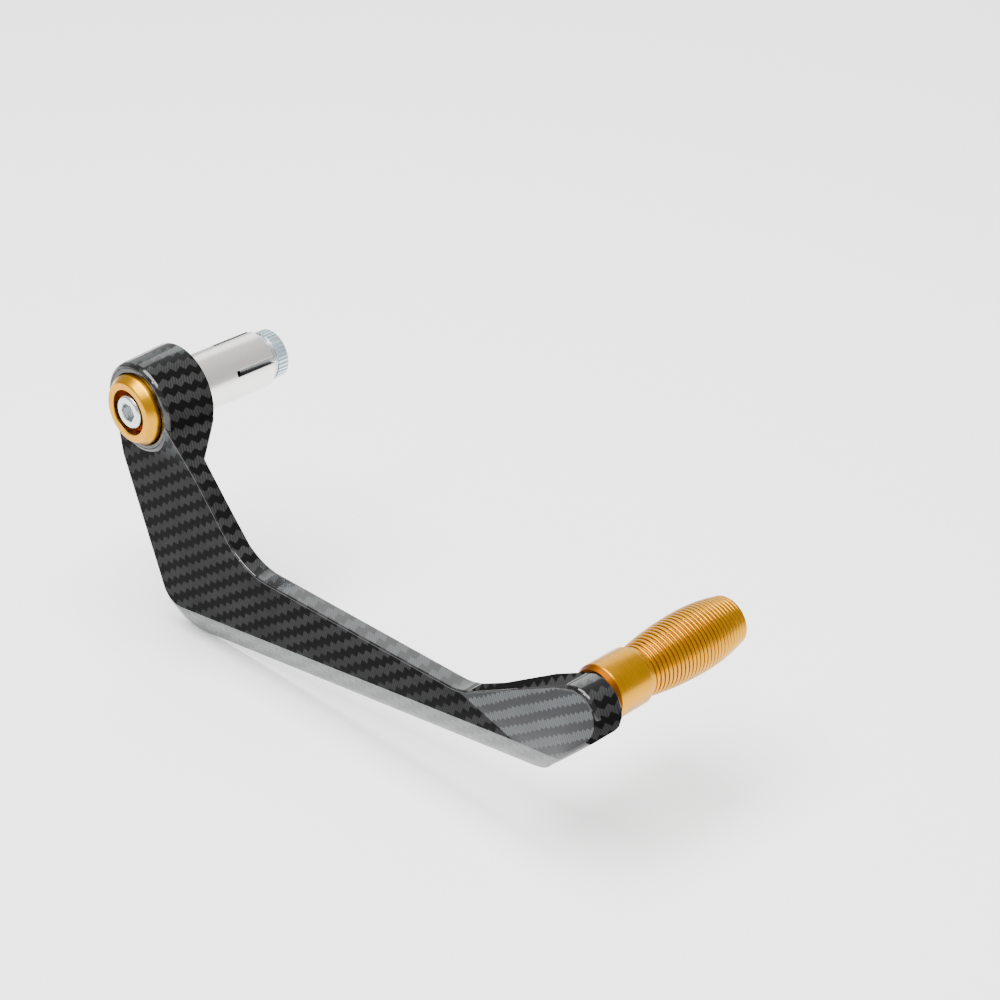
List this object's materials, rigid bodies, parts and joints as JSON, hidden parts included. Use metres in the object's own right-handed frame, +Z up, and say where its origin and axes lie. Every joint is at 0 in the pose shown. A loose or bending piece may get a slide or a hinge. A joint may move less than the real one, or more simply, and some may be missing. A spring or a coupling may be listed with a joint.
{
  "type": "brake lever guard",
  "caption": "Motorbike brake lever guard: cranked moulded arm with a bar-end expansion sleeve and bolt at one end and a short ribbed anodised tip at the other.",
  "frame": {"origin": "on the handlebar axis, at the back face of the arm's main boss where the expansion sleeve starts", "axes": "+Y along the handlebar axis, into the bar; +X forwards along the long leg of the arm; +Z up"},
  "size_m": [0.1894, 0.0655, 0.083],
  "materials": {
    "moulded_nylon": "moulded nylon with a printed carbon-look pattern under clear coat",
    "gold_anodised": "turned and gold anodised",
    "zinc_plated_steel": "bright zinc plated",
    "polished_aluminium": "turned and polished",
    "zinc_plated_nut": "blue-white zinc plated"
  },
  "bodies": {
    "root": {"arm": "moulded_nylon", "cup_washer": "gold_anodised", "bar_bolt": "zinc_plated_steel", "sleeve": "polished_aluminium", "cone_nut": "zinc_plated_nut", "tip": "gold_anodised", "tip_screw": "zinc_plated_steel"}
  },
  "joints": []
}
